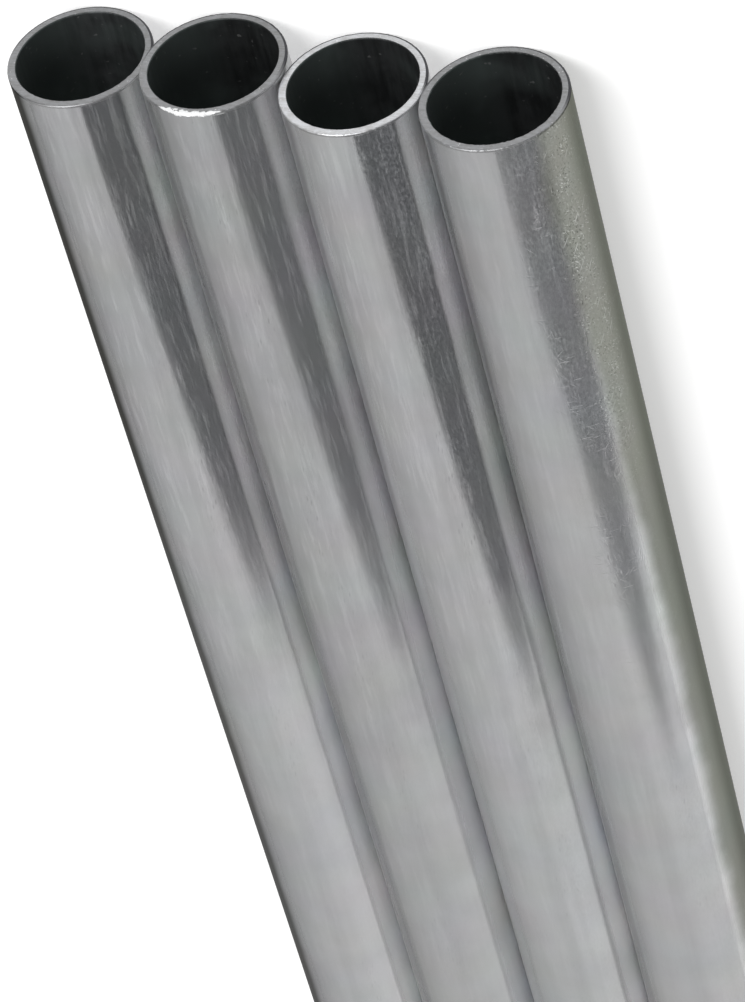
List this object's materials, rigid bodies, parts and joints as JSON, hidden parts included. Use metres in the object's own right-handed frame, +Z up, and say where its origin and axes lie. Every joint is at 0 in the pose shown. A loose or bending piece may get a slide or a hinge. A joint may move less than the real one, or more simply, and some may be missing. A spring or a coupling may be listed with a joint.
{
  "type": "aluminium tube bundle",
  "caption": "Round aluminium tubes lying side by side in one flat row, open at both sawn ends, with slightly uneven ends.",
  "frame": {"origin": "middle of the bundle's footprint, on the floor that the tubes lie on", "axes": "+Z up, +Y along the tubes, +X across the row"},
  "size_m": [0.1002, 1.0018, 0.025],
  "materials": {
    "mill_aluminium": "drawn mill finish with lengthwise die lines and light handling scratches, sawn ends"
  },
  "bodies": {
    "root": {"tube_1": "mill_aluminium", "tube_2": "mill_aluminium", "tube_3": "mill_aluminium", "tube_4": "mill_aluminium"}
  },
  "joints": []
}
